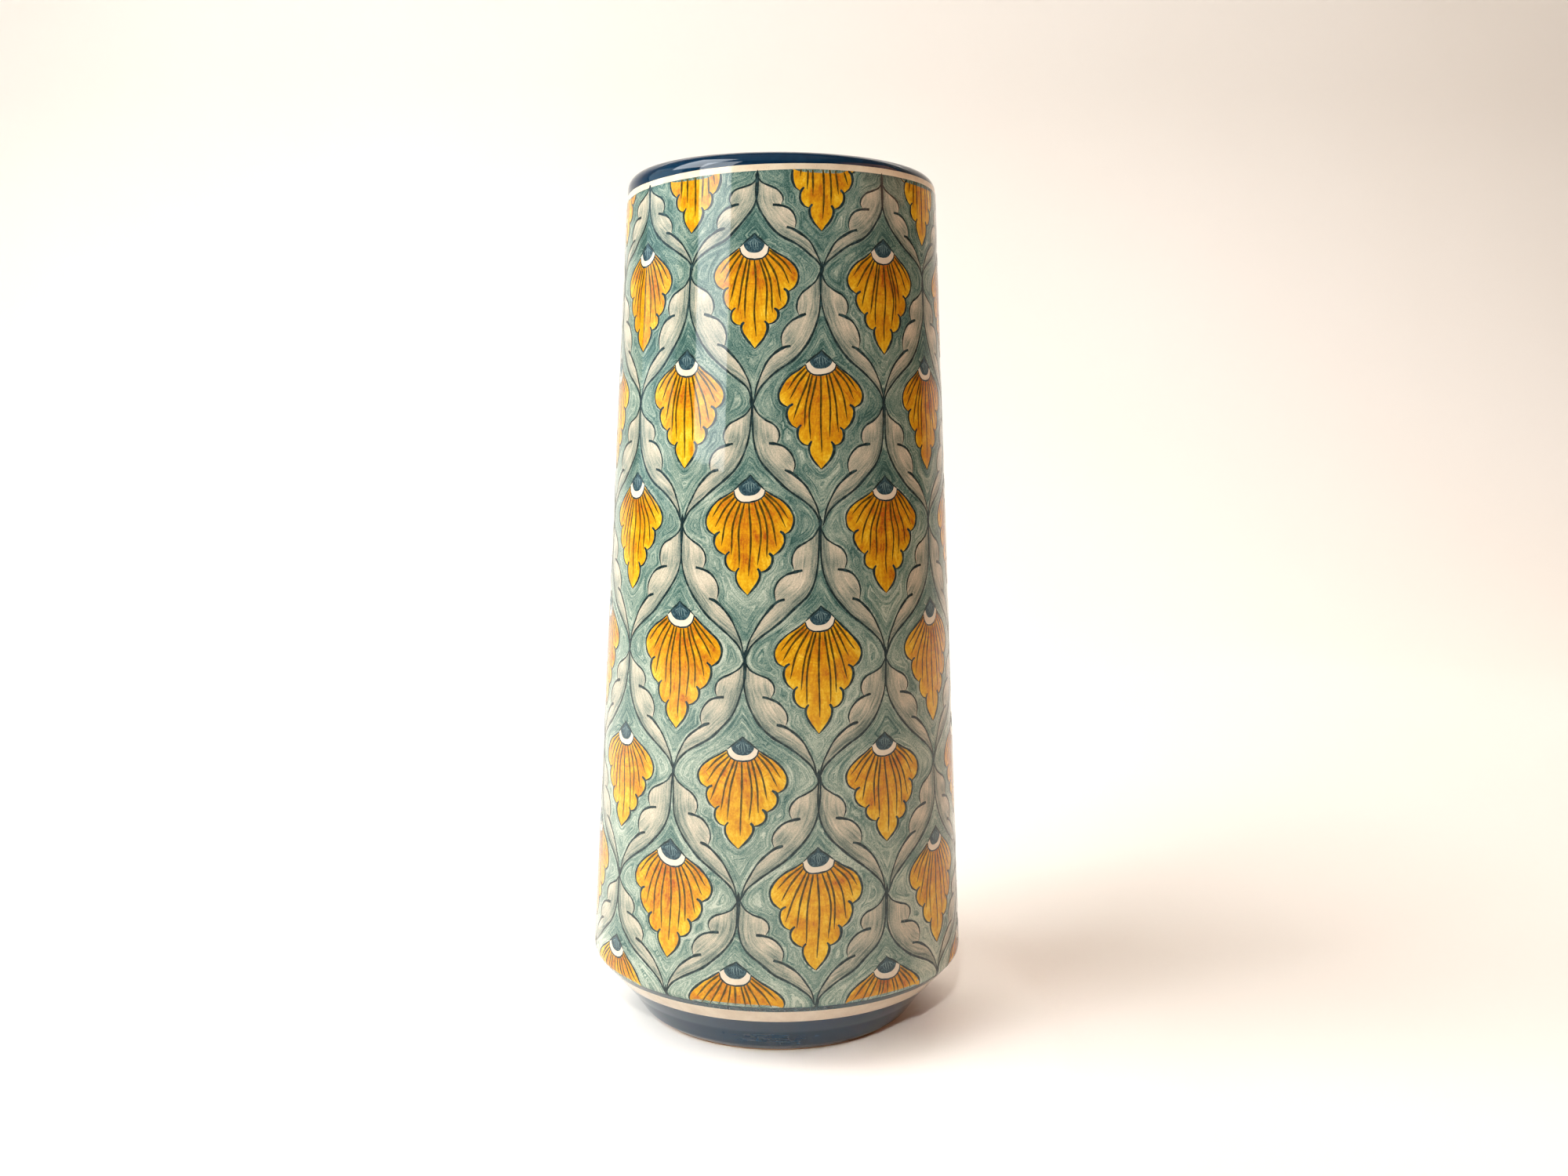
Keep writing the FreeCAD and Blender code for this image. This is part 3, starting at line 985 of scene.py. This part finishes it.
def leaf_material():
    r = Recipe("cream_leaf")
    flow = r.mark("flow", "Vector")
    from_spine = r.node("ShaderNodeSeparateXYZ", {"Vector": flow}).outputs[0]
    shade = r.mark("shade")
    washed = r.maths("MULTIPLY_ADD", shade, 0.7, 0.3)
    drawn = r.maths("ADD", r.streaks(flow, 1.8, 0.1, 1.3), r.lines(flow, from_spine, 1.5, 2.6, -0.3))
    value = r.total(
        r.maths("MULTIPLY_ADD", shade, -0.50, 0.76),
        r.about_zero(r.noise(r.position(), 0.12), 0.5),
        r.streaks(flow, 0.6, 0.07, 0.6, 5.0),
        r.maths("MULTIPLY", drawn, washed),
        r.streaks(flow, 4.2, 0.2, 0.8, 17.0),
        r.about_zero(r.noise(r.position(), 2.6, 3.0, 0.75), 1.2),
    )
    return r.finish(r.ramp(
        value, (0.0, (96, 108, 98)), (0.3, (140, 146, 130)), (0.55, (175, 169, 148)),
        (0.8, (202, 188, 163)), (1.0, (226, 210, 185)),
    ))


def soft_edged(recipe, colour, wash, amount):
    """A brush stroke whose sides are paler than its middle and ragged."""
    side = recipe.maths("ABSOLUTE", recipe.mark("side"))
    ragged = recipe.about_zero(recipe.noise(recipe.position(), 1.9, 3.0, 0.6), 1.2)
    share = recipe.spread(recipe.maths("ADD", side, ragged), 0.45, 1.1, 0.0, amount)
    return recipe.mix(share, colour, wash)


def ink_material():
    r = Recipe("dark_teal_ink")
    value = r.maths("MULTIPLY_ADD", r.noise(r.position(), 0.7, 3.0, 0.6), 1.5, -0.25)
    colour = r.ramp(value, (0.1, (14, 28, 32)), (0.5, (26, 44, 48)), (0.9, (60, 84, 84)))
    return r.finish(soft_edged(r, colour, (90, 100, 84), 0.55))


def clouded_material(name, scale, *stops):
    r = Recipe(name)
    return r.finish(r.ramp(r.noise(r.position(), scale, 3.0, 0.6), *stops))


def line_material():
    stops = (0.25, (22, 42, 48)), (0.5, (36, 60, 66)), (0.8, (66, 92, 94))
    return clouded_material("closing_line_ink", 0.9, *stops)


def ray_material():
    r = Recipe("olive_ink")
    value = r.noise(r.position(), 0.8, 3.0, 0.6)
    colour = r.ramp(value, (0.25, (46, 38, 14)), (0.5, (70, 58, 18)), (0.78, (112, 88, 24)))
    return r.finish(soft_edged(r, colour, (160, 112, 22), 0.55))


def hatch_material():
    return clouded_material("pale_hatching", 1.2, (0.25, (84, 112, 116)), (0.75, (140, 162, 156)))


def eye_material():
    r = Recipe("navy_eye")
    polar = r.mark("polar", "Vector")
    value = r.noise(r.scaled(polar, 1.6, 4.0, 2.0), 1.0, 3.0, 0.6)
    colour = r.ramp(value, (0.25, (26, 44, 54)), (0.5, (46, 70, 78)), (0.75, (92, 120, 122)))
    return r.finish(colour)


def cream_material(name, pale, deep):
    r = Recipe(name)
    cloud = r.noise(r.position(), 0.12, 3.0, 0.6)
    colour = r.ramp(cloud, (0.3, deep), (0.7, pale))
    return r.finish(speckled(r, colour))


def blue_material():
    r = Recipe("navy_glaze")
    way = r.mark("way")
    place = r.position()
    turned = r.node("ShaderNodeCombineXYZ", {"X": way, "Z": r.noise(place, 0.03, 1.0)}).outputs[0]
    streaks = r.noise(turned, 1.3, 3.0, 0.6)
    cloud = r.noise(place, 0.22, 4.0, 0.6)
    value = r.maths("MULTIPLY_ADD", streaks, 0.45, r.maths("MULTIPLY", cloud, 0.55))
    colour = r.ramp(value, (0.25, (4, 25, 42)), (0.5, (7, 41, 63)), (0.8, (17, 55, 78)))
    return r.finish(colour, (0.03, 0.07), 0.007)


def clay_material():
    r = Recipe("bare_clay")
    place = r.position()
    cloud = r.noise(place, 0.15, 4.0, 0.6)
    grit = r.noise(place, 2.5, 4.0, 0.7)
    value = r.maths("MULTIPLY_ADD", grit, 0.4, r.maths("MULTIPLY", cloud, 0.6))
    colour = r.ramp(value, (0.3, (150, 108, 76)), (0.5, (186, 146, 110)), (0.72, (212, 178, 142)))
    return r.finish(colour, (0.7, 0.9), 0.12, 1.4)


def build_vase():
    layers = defaultdict(Layer)
    outlines = []
    for motif in palmette_motifs():
        paint_palmette(motif, layers, outlines)
    for motif in leaf_motifs():
        paint_leaf(motif, layers, outlines)
    for kind, height in JUNCTIONS[:-1]:
        for number in range(COLUMNS):
            paint_knot(kind, height, number, layers)
    single = {"crescents": cream_material("crescent_cream", (236, 222, 198), (222, 204, 178)),
              "eyes": eye_material(), "rays": ray_material(), "hatching": hatch_material()}
    for name, material in single.items():
        layers[name].build(name, material)
    grouped = {"palmettes": palmette_material(), "leaves": leaf_material(), "outlines": ink_material()}
    for name, material in grouped.items():
        for q in range(QUARTERS):
            layers[name, q].build(f"{name}_{q + 1}", material)
    paint_ground(outlines, ground_material())

    blue = blue_material()
    ring("foot_band", "foot_glaze", level(0.0), FOOT_EDGE, blue, step=0.8)
    low_cream = cream_material("foot_cream", (232, 214, 190), (210, 188, 162))
    ring("foot_cream_band", "base_cream", FOOT_EDGE, CREAM_EDGE, low_cream)
    ring("closing_line", "base_line", CREAM_EDGE, FIELD_FOOT, line_material(), step=0.5)
    high_cream = cream_material("rim_cream", (240, 224, 196), (220, 198, 168))
    ring("rim_cream_band", "rim_cream", FIELD_TOP, RIM_EDGE, high_cream)
    ring("rim_band", "rim_glaze", RIM_EDGE, MOUTH_EDGE, blue, step=0.6)
    white = cream_material("inside_white", (240, 230, 208), (222, 208, 182))
    ring("inside_skin", "inside_glaze", MOUTH_EDGE, level(END_WAY - 0.05), white, columns=180, step=3.0)
    clay = clay_material()
    for node in ("clay_base", "clay_wall"):
        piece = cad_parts[node]
        for slot in piece.material_slots:
            slot.material = clay


# --- Floor, backdrop, lights and camera --------------------


def build_stage():
    """A pale floor that sweeps up into the backdrop."""
    width, front, back, bend, tall = 6.0, -2.2, 1.5, 0.7, 3.0
    profile = [(front, 0.0), (back - bend, 0.0)]
    for step in range(1, 25):
        turn = math.radians(90 * step / 24)
        profile.append((back - bend + bend * math.sin(turn), bend * (1 - math.cos(turn))))
    profile.append((back, tall))
    points = [(x, y, z) for y, z in profile for x in (-width / 2, width / 2)]
    faces = [(2 * i, 2 * i + 1, 2 * i + 3, 2 * i + 2) for i in range(len(profile) - 1)]
    mesh = bpy.data.meshes.new("sweep")
    mesh.from_pydata(points, [], faces)
    mesh.polygons.foreach_set("use_smooth", [True] * len(faces))
    r = Recipe("paper_sweep")
    r.shader.inputs["Roughness"].default_value = 0.75
    cloud = r.noise(r.position(), 0.0014)
    colour = r.ramp(cloud, (0.3, (247, 240, 230)), (0.7, (250, 244, 236)))
    r.tree.links.new(colour, r.shader.inputs["Base Color"])
    mesh.materials.append(r.material)
    sweep = bpy.data.objects.new("sweep", mesh)
    bpy.context.scene.collection.objects.link(sweep)
    return sweep


def area_light(name, azimuth, elevation, distance, size, power, colour, target=(0, 0, 0.15)):
    """A soft rectangular light; azimuth counts from the viewer's side, positive to the right."""
    light = bpy.data.lights.new(name, "AREA")
    light.shape = "RECTANGLE"
    light.size, light.size_y = size
    light.energy = power
    light.color = colour
    lamp = bpy.data.objects.new(name, light)
    a, e = math.radians(azimuth), math.radians(elevation)
    aim = Vector(target)
    away = Vector((math.sin(a) * math.cos(e), -math.cos(a) * math.cos(e), math.sin(e)))
    lamp.location = aim + away * distance
    lamp.rotation_mode = "QUATERNION"
    lamp.rotation_quaternion = away.to_track_quat("Z", "Y")
    bpy.context.scene.collection.objects.link(lamp)
    return lamp


# Each soft light's name, azimuth, elevation, distance and size in m, power and colour.
LIGHTS = (
    ("window", -48.3, 26, 1.7, (0.72, 1.25), 20, (0.90, 0.96, 1.0)),
    ("high_window", -74, 45, 1.8, (0.9, 1.2), 27, (0.93, 0.97, 1.0)),
    ("left_window", -95, 20, 1.6, (1.0, 1.0), 4, (0.62, 0.86, 1.0)),
    ("ceiling", -20, 75, 1.8, (1.6, 1.6), 1.8, (1.0, 1.0, 1.0)),
    ("warm_wall", 80, 35, 1.6, (1.2, 1.0), 3.5, (1.0, 0.42, 0.2)),
)
WASH = ("backdrop_wash", 180, 70, 1.3, (3.0, 0.8), 100, (1.0, 0.98, 0.96), (0, 1.2, 0.7))
GLOW = ("floor_glow", -5, 38, 1.0, (0.05, 0.05), 0.039, (1.0, 0.98, 0.95), (0.01, -0.055, 0))
GLOW_SPREAD = math.radians(14)


def build_lights(sweep):
    """The room's lights, a wash that reflections don't show, and a glow that falls only on the floor."""
    for light in LIGHTS:
        area_light(*light)
    area_light(*WASH).visible_glossy = False
    glow = area_light(*GLOW)
    glow.data.spread = GLOW_SPREAD
    floor_only = bpy.data.collections.new("floor_only")
    floor_only.objects.link(sweep)
    glow.light_linking.receiver_collection = floor_only
    bpy.context.scene.world = build_world()


def build_world():
    """A pale room to look at, whose light on the vase is only a dim warm fill."""
    world = bpy.data.worlds.new("studio")
    world.use_nodes = True
    nodes, links = world.node_tree.nodes, world.node_tree.links
    fill = nodes["Background"]
    fill.inputs["Color"].default_value = (1.0, 0.66, 0.42, 1.0)
    fill.inputs["Strength"].default_value = 0.09
    seen = nodes.new("ShaderNodeBackground")
    seen.inputs["Color"].default_value = (1.0, 0.94, 0.87, 1.0)
    seen.inputs["Strength"].default_value = 0.85
    chosen = nodes.new("ShaderNodeMixShader")
    links.new(nodes.new("ShaderNodeLightPath").outputs["Is Camera Ray"], chosen.inputs[0])
    links.new(fill.outputs[0], chosen.inputs[1])
    links.new(seen.outputs[0], chosen.inputs[2])
    links.new(chosen.outputs[0], nodes["World Output"].inputs["Surface"])
    return world


CAMERA_PLACE = (1.78, -518.4, 205.7)
CAMERA_DROP = 5.61              # how far it looks down, in degrees
CAMERA_ROLL = 0.37


def build_camera():
    data = bpy.data.cameras.new("camera")
    data.sensor_width = 36.0
    data.lens = 32.8
    data.clip_start, data.clip_end = 0.01, 20
    camera = bpy.data.objects.new("camera", data)
    tilt, roll = math.radians(90 - CAMERA_DROP), math.radians(CAMERA_ROLL)
    turn = Matrix.Rotation(tilt, 4, "X") @ Matrix.Rotation(roll, 4, "Z")
    camera.matrix_world = Matrix.Translation(Vector(CAMERA_PLACE) * MM) @ turn
    bpy.context.scene.collection.objects.link(camera)
    bpy.context.scene.camera = camera


build_camera()
build_vase()
sweep = build_stage()
build_lights(sweep)
bpy.context.scene.view_settings.view_transform = "Standard"
